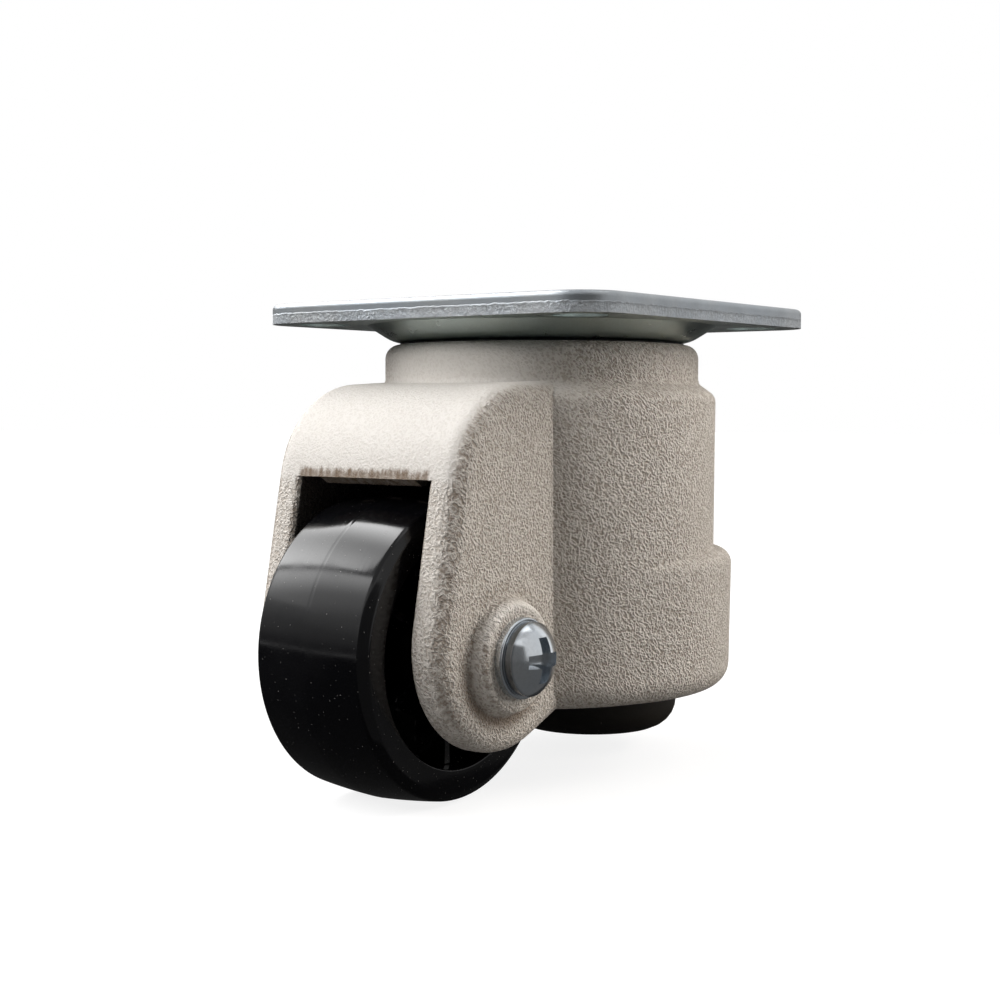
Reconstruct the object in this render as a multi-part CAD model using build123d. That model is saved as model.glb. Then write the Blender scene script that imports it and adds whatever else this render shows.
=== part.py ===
from build123d import *
import os
from math import cos, floor, pi, radians, sin, sqrt

# Levelling castor, in millimetres.
# Origin: centre of the mounting plate's top face, on the swivel axis. +Z is up, +X runs along
# the wheel's axle, and the wheel stands towards -Y, so the levelling foot lies towards +Y.

# Edge rounds used in several places
edge_break_r = 0.3
edge_soft_r = 0.6

# Mounting plate
bolt_pitch = 44.0
bolt_hole_d = 7.2
hole_inset = 7.0
plate_thk = 2.75
plate_corner_r = 6.3
plate_edge_r = 0.7

# Dish pressed in the plate
dish_depth = 2.4
dish_groove_w = 4.2
dish_wall_run = 1.9
dish_rim_land = 0.5
dish_flare = 1.6
dish_floor_set = 0.4
dish_floor_edge_r = 5.0

# King pin
pin_bore_r = 4.3
pin_wall = 1.3
pin_bore_taper = 1.1
pin_bore_tip = 0.8
pin_bore_depth = 6.7
pin_mark_r = 1.4
pin_lip_w = 1.75
pin_top_z = -0.35
pin_bottom_z = -19.5
pin_flange_w = 1.8
pin_flange_thk = 1.6
hub_face_z = -7.5

# Balls, their tracks and the pin's cap
ball_gap = 0.05
ball_spacing = 1.25
lower_ball_d = 4.0
upper_ball_d = 2.5
pin_clearance = 0.7
hub_land = 1.6
ridge_side = 0.45
ridge_foot = 0.3
ridge_top_z = -0.45
ridge_thk = 2.35
ridge_edge_r = 1.3
upper_centre_z = -3.75
upper_track_thk = 1.8
hub_rise = 0.6
cap_land = 0.7
cap_top_z = -1.25
cap_thk = 1.6

# Race ring and dust seal
race_inner_land = 1.95
race_outer_land = 0.5
race_rise = 0.35
race_thk = 3.2
seal_land = 0.8
seal_w = 1.7
seal_thk = 1.1
seal_gap = 0.12
seal_edge_r = 0.1

# Housing body
swivel_gap = 0.3
collar_wall = 2.1
collar_edge_r = 2.0
shoulder_step = 2.5
shoulder_top_z = -10.9
shoulder_bottom_z = -12.7
shoulder_edge_r = 1.8
neck_edge_r = 1.1
body_edge_r = 3.5
body_draft = 0.25
body_rim_gap = 0.4

# Rear bulge round the thumbwheel
bulge_step = 1.1
bulge_draft = 0.35
bulge_y = 2.7
bulge_cover = 2.5
bulge_edge_r = 2.2

# Wheel
wheel_r = 20.0
wheel_w = 18.4
tread_w = 16.8
tread_drop = 0.75
crown_share = 0.36
shoulder_drop = 1.15
rim_wall = 4.9
recess_draft = 0.5
web_thk = 4.0
hub_wall = 2.15
rib_thk = 1.6
rib_w = 13.0
rib_count = 6
rib_overlap = 0.5

# Fork hood and arms
fork_gap = 21.8
arm_thk = 5.0
arm_end_r = 14.2
arm_end_back = 1.35
arm_end_rise = 1.6
arm_edge_r = 2.7
arm_inner_edge_r = 1.0
front_tilt = 11.0
under_tilt = 22.3
hood_top_z = -9.9
hood_top_tilt = 3.0
hood_front_r = 14.0
hood_wall = 3.4
wheel_clearance = 1.6
wheel_top_gap = 2.3
window_top_z = -23.3
lip_w = 16.0
lip_drop = 0.9
lip_rise = 0.4
lip_thk = 2.4
hood_rib_w = 2.7
hood_rib_pitch = 5.4
hood_pocket_back_y = -14.0
hood_pocket_r = 1.5
boss_base_r = 7.6
boss_top_r = 6.8
boss_h = 2.3
boss_edge_r = 0.9
boss_foot_r = 0.8
boss_foot_w = 1.2

# Axle screws, washers, sleeve and bushes
screw_r = 2.5
screw_hole_gap = 0.25
screw_len = 13.5
screw_tip_r = 0.5
head_r = 4.65
head_h = 3.3
head_rim_h = 1.1
cross_w = 1.3
cross_len = 5.4
cross_depth = 1.9
cross_draft = 8.0
washer_r = 5.15
washer_thk = 1.0
washer_edge_r = 0.25
sleeve_r = 3.9
bush_gap = 0.05
bush_wall = 1.5
bush_len = 6.0
bush_flange_r = 7.0
bush_side_play = 0.35

# Levelling spindle
foot_y = 12.7
spindle_r = 3.95
spindle_end_r = 0.8
thread_gap = 0.05
insert_wall = 1.2
insert_top_z = -17.0
spindle_top_gap = 1.5
spindle_neck_r = 3.0
spindle_neck_len = 2.6
thrust_r = 4.8
thrust_thk = 2.4
thrust_edge_r = 1.0

# Thumbwheel and the chamber it turns in
dial_r = 16.3
dial_h = 8.0
dial_gap = 1.0
dial_side_gap = 0.7
dial_rim = 2.6
dial_web = 2.6
dial_hub_r = 7.0
dial_hub_edge_r = 0.4
dial_ribs = 24
dial_scallop_r = 1.4
dial_pin_r = 1.0
dial_pin_inset = 0.5
chamber_wall = 3.6
chamber_depth = 17.4
opening_w = 22.0

# Foot
foot_rest_gap = 3.3
pad_r = 13.0
pad_edge_r = 4.4
pad_top_edge_r = 0.7
pad_floor = 4.55
pad_cover = 1.35
disc_r = 11.4
disc_thk = 2.4
cup_r = 6.7
cup_floor_thk = 2.7
cup_gap = 0.05
clip_thk = 0.8
clip_gap = 0.15
clip_seat = 0.5

# Radii of the swivel bearing, from the pin's bore outwards to the housing's wall
plate_side = bolt_pitch + 2 * hole_inset
lower_ball_r = lower_ball_d / 2
upper_ball_r = upper_ball_d / 2
lower_groove_r = lower_ball_r + ball_gap
upper_groove_r = upper_ball_r + ball_gap
pin_r = pin_bore_r + pin_wall
pin_tip_bore_r = pin_bore_r - pin_bore_taper
pin_lip_r = pin_r + pin_lip_w
pin_flange_r = pin_r + pin_flange_w
plate_bore_r = pin_r + pin_clearance
upper_pitch_r = plate_bore_r + hub_land + upper_groove_r
cap_r = upper_pitch_r + upper_groove_r + cap_land
ridge_in_r = upper_pitch_r + upper_groove_r + hub_land
lower_pitch_r = ridge_in_r + ridge_foot + ridge_side + lower_groove_r
ridge_out_r = lower_pitch_r + lower_groove_r + ridge_side
dish_floor_r = ridge_out_r + dish_groove_w - dish_floor_set
dish_rim_r = ridge_out_r + dish_groove_w + dish_wall_run
race_in_r = lower_pitch_r - race_inner_land
race_out_r = ridge_out_r + race_outer_land
seal_in_r = race_out_r + seal_land
seal_out_r = seal_in_r + seal_w
collar_r = seal_out_r + collar_wall
body_r = collar_r + shoulder_step
bulge_r = body_r + bulge_step

# Levels of the swivel bearing
dish_bottom_z = -plate_thk - dish_depth
collar_top_z = dish_bottom_z - swivel_gap
lower_centre_z = ridge_top_z - ridge_thk - lower_groove_r
plate_hub_top_z = upper_centre_z - hub_rise * upper_ball_r
plate_hub_bottom_z = upper_centre_z - upper_groove_r - upper_track_thk
race_top_z = lower_centre_z - race_rise * lower_ball_r
race_bottom_z = race_top_z - race_thk
cap_bottom_z = cap_top_z - cap_thk
seal_top_z = dish_bottom_z - seal_gap
seal_bottom_z = seal_top_z - seal_thk
pin_flange_bottom_z = hub_face_z - pin_flange_thk
pin_bore_end_z = pin_top_z - pin_bore_depth

# Wheel, its place and the parts on its axle
well_r = wheel_r + wheel_clearance
chamber_r = dial_r + dial_side_gap
axle_y = foot_y - chamber_r - chamber_wall - well_r
axle_z = window_top_z - wheel_top_gap - wheel_r
arm_end_y = axle_y + arm_end_back
arm_end_z = axle_z + arm_end_rise
fork_x = fork_gap / 2
arm_x = fork_x + arm_thk
boss_x = arm_x + boss_h
head_x = boss_x + washer_thk
head_dome_h = head_h - head_rim_h
head_dome_r = (head_r ** 2 + head_dome_h ** 2) / (2 * head_dome_h)
bush_bore_r = sleeve_r + bush_gap
bush_r = bush_bore_r + bush_wall
hub_r = bush_r + hub_wall
rim_recess_r = wheel_r - rim_wall

# Levels of the foot, the thumbwheel and the housing's lower end
pad_bottom_z = axle_z - wheel_r + foot_rest_gap
disc_bottom_z = pad_bottom_z + pad_floor
disc_top_z = disc_bottom_z + disc_thk
pad_top_z = disc_top_z + pad_cover
cup_floor_z = disc_bottom_z + cup_floor_thk
thrust_bottom_z = cup_floor_z + cup_gap
thrust_top_z = thrust_bottom_z + thrust_thk
neck_top_z = thrust_top_z + spindle_neck_len
clip_bottom_z = thrust_top_z + clip_gap
clip_top_z = clip_bottom_z + clip_thk
cup_top_z = clip_top_z + clip_thk
cup_bore_r = thrust_r + cup_gap
clip_r = cup_bore_r + clip_seat
body_bottom_z = pad_top_z - body_rim_gap
chamber_top_z = body_bottom_z + chamber_depth
bulge_top_z = chamber_top_z + bulge_cover
dial_top_z = chamber_top_z - dial_gap
dial_bottom_z = dial_top_z - dial_h
dial_mid_z = (dial_top_z + dial_bottom_z) / 2
insert_bore_r = spindle_r + thread_gap
insert_r = insert_bore_r + insert_wall
spindle_top_z = insert_top_z - spindle_top_gap


def outline(corners):
    """Flat outline from (u, v, corner radius) entries."""
    face = Polygon(*[(u, v) for u, v, r in corners], align=None)
    for u, v, r in corners:
        if r > 0:
            face = fillet(face.vertices().sort_by_distance((u, v, 0))[0], r)
    return face


def turned(corners, y=0.0):
    """Solid turned about the vertical axis at y, from (radius, height, corner radius) entries."""
    return Pos(0, y, 0) * revolve(Plane.XZ * outline(corners), Axis.Z)


def turned_on_axle(corners):
    """Solid turned about the wheel's axle, from (x, radius, corner radius) entries."""
    return Pos(0, axle_y, axle_z) * revolve(outline(corners), Axis.X)


def ring(outer_r, inner_r, top_z, bottom_z, y=0.0):
    """Plain ring about the vertical axis at y."""
    corners = [(inner_r, bottom_z), (outer_r, bottom_z), (outer_r, top_z), (inner_r, top_z)]
    return turned([(r, z, 0) for r, z in corners], y)


def drum(radius, top_z, bottom_z, y=0.0):
    """Plain upright cylinder about the vertical axis at y."""
    return Pos(0, y, bottom_z) * extrude(Circle(radius), top_z - bottom_z)


def axle_drum(radius, x_from, x_to):
    """Plain cylinder on the wheel's axle."""
    return Pos(x_from, axle_y, axle_z) * extrude(Plane.YZ * Circle(radius), x_to - x_from)


def side_plate(corners, x_from, x_to):
    """Side outline in Y and Z, drawn out along X."""
    return Pos(x_from, 0, 0) * extrude(Plane.YZ * outline(corners), x_to - x_from, dir=(1, 0, 0))


def track(pitch_r, centre_z, groove_r):
    """Round track that a ring of balls runs in."""
    return Pos(0, 0, centre_z) * Torus(pitch_r, groove_r)


def ball_ring(pitch_r, centre_z, ball_r):
    """Ring of balls at even angles, as many as the spacing lets in."""
    count = floor(pi * pitch_r / (ball_r * ball_spacing))
    return [Pos(0, 0, centre_z) * place * Sphere(ball_r) for place in PolarLocations(pitch_r, count)]


def mirrored(shape):
    """The same shape on the other side of the wheel."""
    return mirror(shape, Plane.YZ)


def crossing(first, second):
    """Point where two lines meet, each given by its normal (u, v) and distance."""
    u1, v1, d1 = first
    u2, v2, d2 = second
    across = u1 * v2 - v1 * u2
    return (d1 * v2 - d2 * v1) / across, (u1 * d2 - u2 * d1) / across


def tangent_to_arm_end(u, v, inset):
    """Line with normal (u, v) that touches the round arm end, moved in by inset."""
    return u, v, arm_end_r - inset + u * arm_end_y + v * arm_end_z


def front_line(inset=0.0):
    """Front line of the hood's side outline, moved in by inset."""
    return tangent_to_arm_end(-cos(radians(front_tilt)), sin(radians(front_tilt)), inset)


def top_line(inset=0.0):
    """Top line of the hood's side outline, moved in by inset."""
    slope = radians(hood_top_tilt)
    return -sin(slope), cos(slope), hood_top_z * cos(slope) - inset


def make_plate():
    """Square plate with four holes and the dished centre that holds both ball tracks."""
    sheet = extrude(RectangleRounded(plate_side, plate_side, plate_corner_r), -plate_thk)
    sheet = fillet(sheet.faces().sort_by(Axis.Z)[-1].edges(), plate_edge_r)
    sheet -= drum(dish_rim_r, plate_thk, -2 * plate_thk)
    dish = turned([
        (dish_rim_r, 0, 0),
        (dish_rim_r - dish_rim_land, 0, plate_edge_r),
        (dish_rim_r - dish_wall_run, -dish_depth, edge_soft_r),
        (ridge_out_r + ridge_side, -dish_depth, edge_break_r),
        (ridge_out_r, ridge_top_z, ridge_edge_r),
        (ridge_in_r, ridge_top_z, ridge_edge_r),
        (ridge_in_r - ridge_foot, plate_hub_top_z, edge_soft_r),
        (plate_bore_r, plate_hub_top_z, 0),
        (plate_bore_r, plate_hub_bottom_z, 0),
        (ridge_in_r, plate_hub_bottom_z, edge_soft_r),
        (ridge_in_r + ridge_foot, dish_bottom_z, 0),
        (dish_floor_r, dish_bottom_z, dish_floor_edge_r),
        (dish_rim_r + dish_flare, -plate_thk, 0),
        (dish_rim_r, -plate_thk, 0),
    ])
    plate = sheet + dish
    plate -= GridLocations(bolt_pitch, bolt_pitch, 2, 2) * Cylinder(bolt_hole_d / 2, 3 * plate_thk)
    plate -= track(lower_pitch_r, lower_centre_z, lower_groove_r)
    plate -= track(upper_pitch_r, upper_centre_z, upper_groove_r)
    return plate


def make_king_pin():
    """Hollow pin set in the housing, with a flange below the plate and a peened lip on the cap."""
    return turned([
        (0, pin_bottom_z, 0),
        (pin_r, pin_bottom_z, edge_soft_r),
        (pin_r, pin_flange_bottom_z, 0),
        (pin_flange_r, pin_flange_bottom_z, 0),
        (pin_flange_r, hub_face_z, edge_break_r),
        (pin_r, hub_face_z, 0),
        (pin_r, cap_top_z, 0),
        (pin_lip_r, cap_top_z, 0),
        (pin_lip_r, pin_top_z, edge_soft_r),
        (pin_bore_r, pin_top_z, edge_break_r),
        (pin_bore_r, pin_bore_end_z + pin_bore_tip, 0),
        (pin_tip_bore_r, pin_bore_end_z, 0),
        (pin_mark_r, pin_bore_end_z, 0),
        (0, pin_bore_end_z - pin_mark_r, 0),
    ])


def make_pin_cap():
    """Flat cap washer with the upper half of the small ball track."""
    cap = turned([
        (pin_r, cap_bottom_z, 0),
        (cap_r, cap_bottom_z, edge_break_r),
        (cap_r, cap_top_z, edge_break_r),
        (pin_r, cap_top_z, 0),
    ])
    return cap - track(upper_pitch_r, upper_centre_z, upper_groove_r)


def make_race_ring():
    """Hardened ring with the lower half of the large ball track."""
    race = turned([
        (race_in_r, race_bottom_z, 0),
        (race_out_r, race_bottom_z, 0),
        (race_out_r, race_top_z, edge_break_r),
        (race_in_r, race_top_z, 0),
    ])
    return race - track(lower_pitch_r, lower_centre_z, lower_groove_r)


def make_dust_seal():
    """Rubber ring that closes the gap between dish and collar."""
    return turned([
        (seal_in_r, seal_bottom_z, 0),
        (seal_out_r, seal_bottom_z, 0),
        (seal_out_r, seal_top_z, seal_edge_r),
        (seal_in_r, seal_top_z, seal_edge_r),
    ])


def make_body():
    """Collar, shoulder and round body of the housing, with the bulge at the lower rear."""
    body = turned([
        (0, body_bottom_z, 0),
        (body_r - body_draft, body_bottom_z, body_edge_r),
        (body_r, shoulder_bottom_z, shoulder_edge_r),
        (collar_r, shoulder_top_z, neck_edge_r),
        (collar_r, collar_top_z, collar_edge_r),
        (0, collar_top_z, 0),
    ])
    bulge = turned([
        (0, body_bottom_z, 0),
        (bulge_r - bulge_draft, body_bottom_z, body_edge_r),
        (bulge_r, bulge_top_z, bulge_edge_r),
        (0, bulge_top_z, 0),
    ], bulge_y)
    return body + bulge


def hood_side(x_from, x_to):
    """Side outline of hood and arms, from the swivel axis to the front, drawn out along X."""
    under = tangent_to_arm_end(sin(radians(under_tilt)), -cos(radians(under_tilt)), 0)
    swivel_axis = (1, 0, 0)
    return side_plate([
        (*crossing(top_line(), swivel_axis), 0),
        (*crossing(top_line(), front_line()), hood_front_r),
        (*crossing(front_line(), under), arm_end_r),
        (*crossing(under, swivel_axis), 0),
    ], x_from, x_to)


def make_arm():
    """Right-hand round-ended arm with soft edges and its boss."""
    arm = hood_side(fork_x, arm_x)
    arm = fillet(arm.faces().sort_by(Axis.X)[-1].edges(), arm_edge_r)
    arm = fillet(arm.faces().sort_by(Axis.X)[0].edges(), arm_inner_edge_r)
    boss = turned_on_axle([
        (fork_x, screw_r, 0),
        (boss_x, screw_r, 0),
        (boss_x, boss_top_r, boss_edge_r),
        (arm_x, boss_base_r, boss_foot_r),
        (arm_x, boss_base_r + boss_foot_w, 0),
        (fork_x, boss_base_r + boss_foot_w, 0),
    ])
    return arm + boss


def make_hood():
    """Fork hood: the bridge above the wheel, and the arms at its sides."""
    bridge_x = arm_x - arm_edge_r
    bridge = hood_side(-bridge_x, bridge_x) - make_wheel_well(bridge_x)
    return bridge + make_arm() + mirrored(make_arm())


def make_wheel_well(half_w):
    """Space for the wheel between -half_w and half_w, open to the front and below."""
    well = axle_drum(well_r, -half_w, half_w)
    below = side_plate([
        (2 * axle_y, axle_z, 0),
        (axle_y + well_r, axle_z, 0),
        (axle_y + well_r, 2 * axle_z, 0),
        (2 * axle_y, 2 * axle_z, 0),
    ], -half_w, half_w)
    window = side_plate([
        (2 * axle_y, window_top_z, 0),
        (axle_y, window_top_z, 0),
        (axle_y, axle_z, 0),
        (2 * axle_y, axle_z, 0),
    ], -half_w, half_w)
    return well + below + window


def make_hood_pockets():
    """Cored pockets under the hood, parted by ribs that run front to back."""
    front = front_line(hood_wall)
    top = top_line(hood_wall)
    sill = (0, 1, window_top_z - lip_drop)
    pocket_bottom = (0, 1, axle_z + well_r / 2)
    back = (1, 0, hood_pocket_back_y)
    pocket = [
        (*crossing(top, back), hood_pocket_r),
        (*crossing(top, front), hood_front_r - hood_wall),
        (*crossing(front, sill), 0),
        (axle_y, sill[2], 0),
        (*crossing(back, pocket_bottom), 0),
    ]
    bay = (hood_rib_pitch - hood_rib_w) / 2
    pockets = side_plate(pocket, -bay, bay)
    outer_from = 1.5 * hood_rib_pitch + hood_rib_w / 2
    for shift in (-hood_rib_pitch, hood_rib_pitch):
        pockets += side_plate(pocket, shift - bay, shift + bay)
    pockets += side_plate(pocket, outer_from, fork_x)
    pockets += side_plate(pocket, -fork_x, -outer_from)
    return pockets


def make_lip():
    """Bevelled lip that hangs from the window's upper edge."""
    edge_y, edge_z = crossing(front_line(), (0, 1, window_top_z + lip_rise))
    back_y = edge_y + hood_wall
    return side_plate([
        (edge_y, edge_z, 0),
        (back_y, edge_z, 0),
        (back_y, window_top_z - lip_drop, 0),
        (back_y - lip_thk / 2, window_top_z - lip_drop, 0),
    ], -lip_w / 2, lip_w / 2)


def make_housing():
    """Cast housing: body, hood and arms, with every seat, well and bore cut out."""
    housing = make_body() + make_hood()
    housing -= make_wheel_well(fork_x)
    housing -= make_hood_pockets()
    housing += make_lip()
    housing -= ring(race_out_r, race_in_r, 0, race_bottom_z)
    housing -= drum(race_in_r, 0, hub_face_z)
    housing -= ring(seal_out_r, seal_in_r, 0, seal_bottom_z)
    housing -= drum(pin_flange_r, hub_face_z, pin_flange_bottom_z)
    housing -= turned([
        (0, pin_bottom_z, 0),
        (pin_r, pin_bottom_z, edge_soft_r),
        (pin_r, hub_face_z, 0),
        (0, hub_face_z, 0),
    ])
    housing -= drum(insert_r, insert_top_z, chamber_top_z, foot_y)
    housing -= drum(chamber_r, chamber_top_z, 2 * body_bottom_z, foot_y)
    housing -= side_plate([
        (foot_y, chamber_top_z, 0),
        (foot_y + 2 * chamber_r, chamber_top_z, 0),
        (foot_y + 2 * chamber_r, 2 * body_bottom_z, 0),
        (foot_y, 2 * body_bottom_z, 0),
    ], -opening_w / 2, opening_w / 2)
    housing -= axle_drum(screw_r + screw_hole_gap, -2 * arm_x, 2 * arm_x)
    return housing


def make_wheel():
    """Wheel with two crowned tread halves, side recesses, web, ribs and hub."""
    edge_r = wheel_r - tread_drop
    side_r = edge_r - shoulder_drop
    half_w = wheel_w / 2
    half_tread = tread_w / 2
    half_web = web_thk / 2
    crown_mid_r = wheel_r - crown_share * tread_drop
    crown = ThreePointArc((0, wheel_r), (half_tread / 2, crown_mid_r), (half_tread, edge_r))
    flank = Polyline(
        (half_tread, edge_r),
        (half_w, side_r),
        (half_w, rim_recess_r),
        (half_web, rim_recess_r - recess_draft),
        (half_web, hub_r + recess_draft),
        (half_w, hub_r),
        (half_w, bush_r),
        (0, bush_r),
        (0, wheel_r),
    )
    half = revolve(make_face(crown + flank), Axis.X)
    wheel = half + mirrored(half)
    rib_len = rim_recess_r - hub_r + 2 * rib_overlap
    rib = Pos(0, 0, (hub_r + rim_recess_r) / 2) * Box(rib_w, rib_thk, rib_len)
    for number in range(rib_count):
        wheel += Rot(360 * number / rib_count, 0, 0) * rib
    return Pos(0, axle_y, axle_z) * wheel


def make_bush():
    """Flanged bearing bush in the right side of the wheel's hub."""
    half_w = wheel_w / 2
    return turned_on_axle([
        (half_w - bush_len, bush_bore_r, 0),
        (fork_x - bush_side_play, bush_bore_r, 0),
        (fork_x - bush_side_play, bush_flange_r, edge_break_r),
        (half_w, bush_flange_r, 0),
        (half_w, bush_r, 0),
        (half_w - bush_len, bush_r, 0),
    ])


def make_axle_sleeve():
    """Steel tube between the arms, bored for a screw at each end."""
    sleeve = axle_drum(sleeve_r, -fork_x, fork_x)
    return sleeve - axle_drum(screw_r, -fork_x, fork_x)


def make_screw():
    """Right-hand axle screw: shank, domed head and cross recess."""
    dome_x = head_x + head_h - head_dome_r
    dome_mid_x = head_x + head_rim_h + head_dome_h / 2
    dome_mid_r = sqrt(head_dome_r ** 2 - (dome_mid_x - dome_x) ** 2)
    dome = ThreePointArc((head_x + head_rim_h, head_r), (dome_mid_x, dome_mid_r), (head_x + head_h, 0))
    shank = Polyline(
        (head_x + head_h, 0),
        (head_x - screw_len, 0),
        (head_x - screw_len, screw_r - screw_tip_r),
        (head_x - screw_len + screw_tip_r, screw_r),
        (head_x, screw_r),
        (head_x, head_r),
        (head_x + head_rim_h, head_r),
    )
    screw = Pos(0, axle_y, axle_z) * revolve(make_face(dome + shank), Axis.X)
    cross = Rectangle(cross_len, cross_w) + Rectangle(cross_w, cross_len)
    recess = extrude(cross, cross_depth, taper=-cross_draft)
    recess = Pos(head_x + head_h - cross_depth, axle_y, axle_z) * Rot(0, 90, 0) * recess
    return screw - recess


def make_washer():
    """Right-hand flat washer under the screw head."""
    return turned_on_axle([
        (boss_x, screw_r, 0),
        (head_x, screw_r, 0),
        (head_x, washer_r, washer_edge_r),
        (boss_x, washer_r, 0),
    ])


def make_thread_insert():
    """Bush in the housing that carries the spindle's thread."""
    return ring(insert_r, insert_bore_r, insert_top_z, chamber_top_z, foot_y)


def make_dial_pin_hole():
    """Cylinder that the cross pin fills, through thumbwheel hub and spindle."""
    length = 2 * (dial_hub_r - dial_pin_inset)
    return Pos(-length / 2, foot_y, dial_mid_z) * extrude(Plane.YZ * Circle(dial_pin_r), length)


def make_spindle():
    """Levelling spindle with a waisted neck above its thrust head."""
    spindle = turned([
        (0, thrust_bottom_z, 0),
        (thrust_r, thrust_bottom_z, thrust_edge_r),
        (thrust_r, thrust_top_z, 0),
        (spindle_neck_r, thrust_top_z, 0),
        (spindle_neck_r, neck_top_z, 0),
        (spindle_r, neck_top_z, 0),
        (spindle_r, spindle_top_z, spindle_end_r),
        (0, spindle_top_z, 0),
    ], foot_y)
    return spindle - make_dial_pin_hole()


def make_thumbwheel():
    """Ribbed thumbwheel: scalloped rim, thin web and hub."""
    dial = turned([
        (spindle_r, dial_bottom_z, 0),
        (dial_hub_r, dial_bottom_z, dial_hub_edge_r),
        (dial_hub_r, dial_mid_z - dial_web / 2, 0),
        (dial_r - dial_rim, dial_mid_z - dial_web / 2, 0),
        (dial_r - dial_rim, dial_bottom_z, 0),
        (dial_r, dial_bottom_z, edge_soft_r),
        (dial_r, dial_top_z, edge_soft_r),
        (dial_r - dial_rim, dial_top_z, 0),
        (dial_r - dial_rim, dial_mid_z + dial_web / 2, 0),
        (dial_hub_r, dial_mid_z + dial_web / 2, 0),
        (dial_hub_r, dial_top_z, dial_hub_edge_r),
        (spindle_r, dial_top_z, 0),
    ], foot_y)
    scallop = Cylinder(dial_scallop_r, 2 * dial_h)
    scallop_ring = dial_r + dial_scallop_r / 2
    dial -= Pos(0, foot_y, dial_mid_z) * PolarLocations(scallop_ring, dial_ribs) * scallop
    return dial - make_dial_pin_hole()


def make_foot_cup():
    """Steel cup round the spindle's thrust head, with the disc that the pad is moulded on."""
    return turned([
        (0, disc_bottom_z, 0),
        (disc_r, disc_bottom_z, 0),
        (disc_r, disc_top_z, 0),
        (cup_r, disc_top_z, 0),
        (cup_r, cup_top_z, edge_break_r),
        (cup_bore_r, cup_top_z, 0),
        (cup_bore_r, clip_top_z, 0),
        (clip_r, clip_top_z, 0),
        (clip_r, clip_bottom_z, 0),
        (cup_bore_r, clip_bottom_z, 0),
        (cup_bore_r, cup_floor_z, 0),
        (0, cup_floor_z, 0),
    ], foot_y)


def make_foot_clip():
    """Retaining ring in the cup's groove, above the thrust head."""
    return ring(clip_r, spindle_neck_r + clip_gap, clip_top_z, clip_bottom_z, foot_y)


def make_foot_pad():
    """Rubber pad with a rounded lower edge, moulded over the cup's disc."""
    return turned([
        (0, pad_bottom_z, 0),
        (pad_r, pad_bottom_z, pad_edge_r),
        (pad_r, pad_top_z, pad_top_edge_r),
        (cup_r, pad_top_z, 0),
        (cup_r, disc_top_z, 0),
        (disc_r, disc_top_z, 0),
        (disc_r, disc_bottom_z, 0),
        (0, disc_bottom_z, 0),
    ], foot_y)


def save(name, shape):
    """Write one piece, or a group of like pieces, to its STEP file."""
    solids = shape if isinstance(shape, list) else shape.solids()
    piece = solids[0] if len(solids) == 1 else Compound(children=list(solids))
    export_step(piece, f"parts/{name}.step")


os.makedirs("parts", exist_ok=True)
save("mounting_plate", make_plate())
save("king_pin", make_king_pin())
save("pin_cap", make_pin_cap())
save("race_ring", make_race_ring())
save("dust_seal", make_dust_seal())
save("lower_balls", ball_ring(lower_pitch_r, lower_centre_z, lower_ball_r))
save("upper_balls", ball_ring(upper_pitch_r, upper_centre_z, upper_ball_r))
save("housing", make_housing())
save("thread_insert", make_thread_insert())
save("wheel", make_wheel())
save("bush_right", make_bush())
save("bush_left", mirrored(make_bush()))
save("axle_sleeve", make_axle_sleeve())
save("screw_right", make_screw())
save("screw_left", mirrored(make_screw()))
save("washer_right", make_washer())
save("washer_left", mirrored(make_washer()))
save("spindle", make_spindle())
save("thumbwheel", make_thumbwheel())
save("dial_pin", make_dial_pin_hole())
save("foot_cup", make_foot_cup())
save("foot_clip", make_foot_clip())
save("foot_pad", make_foot_pad())
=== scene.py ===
import bmesh
import bpy
import numpy as np
from mathutils import Matrix, Vector


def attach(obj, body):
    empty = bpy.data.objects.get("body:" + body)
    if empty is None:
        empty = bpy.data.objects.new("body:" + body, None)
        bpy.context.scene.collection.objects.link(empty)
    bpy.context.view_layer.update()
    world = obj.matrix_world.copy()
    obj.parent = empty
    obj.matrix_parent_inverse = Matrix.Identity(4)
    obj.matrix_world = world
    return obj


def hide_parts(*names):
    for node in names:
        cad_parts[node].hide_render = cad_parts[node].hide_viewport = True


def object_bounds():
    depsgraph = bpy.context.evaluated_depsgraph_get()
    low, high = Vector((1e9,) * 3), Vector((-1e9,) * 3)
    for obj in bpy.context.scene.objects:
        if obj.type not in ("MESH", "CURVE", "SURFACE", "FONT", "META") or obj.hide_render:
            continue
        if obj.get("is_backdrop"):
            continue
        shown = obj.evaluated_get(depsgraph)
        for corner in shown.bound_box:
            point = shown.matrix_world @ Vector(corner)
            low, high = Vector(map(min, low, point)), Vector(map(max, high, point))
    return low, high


# Levelling castor, in metres. Origin: centre of the mounting plate's top face, on the swivel
# axis. +Z is up, +X runs along the wheel's axle, and the wheel stands towards -Y.

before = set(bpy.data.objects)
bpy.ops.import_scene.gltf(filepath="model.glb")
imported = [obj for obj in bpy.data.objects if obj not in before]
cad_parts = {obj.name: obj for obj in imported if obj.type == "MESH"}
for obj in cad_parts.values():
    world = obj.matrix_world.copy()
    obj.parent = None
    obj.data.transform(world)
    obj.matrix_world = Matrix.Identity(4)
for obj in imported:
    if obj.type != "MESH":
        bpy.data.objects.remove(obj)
CAD_LOW, CAD_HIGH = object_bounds()

MM = 0.001
FLOOR_Z = CAD_LOW.z
AXLE = np.array((0.0, -29.5, -45.6)) * MM
FOOT_Y = 12.7 * MM


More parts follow.
